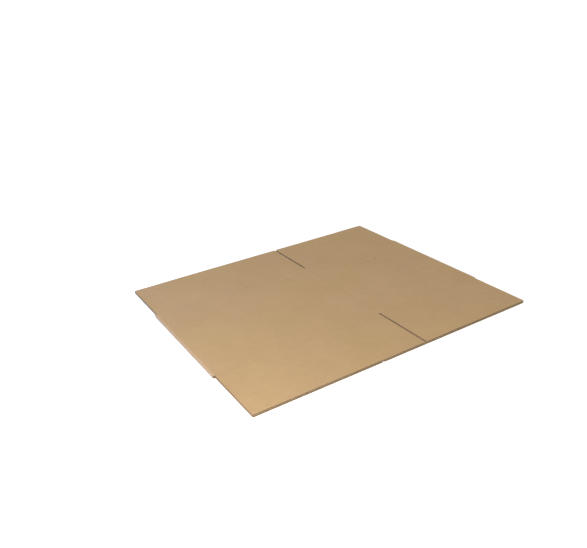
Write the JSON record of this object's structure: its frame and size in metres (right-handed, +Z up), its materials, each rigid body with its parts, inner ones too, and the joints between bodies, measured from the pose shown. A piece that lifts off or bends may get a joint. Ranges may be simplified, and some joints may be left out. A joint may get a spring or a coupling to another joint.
{
  "type": "flattened cardboard box",
  "caption": "Plain kraft shipping carton knocked down flat: corrugated board folded into a two-layer tube, with slotted end flaps and open flutes.",
  "frame": {"origin": "middle of the underside, on the surface that the flat box lies on", "axes": "+X across the folded width, from fold to fold; +Y along the carton's height with its flaps, which is also the way the flutes run; +Z up"},
  "size_m": [0.958, 0.812, 0.0094],
  "materials": {
    "kraft_board": "matte"
  },
  "bodies": {
    "root": {"flattened_box": "kraft_board"}
  },
  "joints": []
}
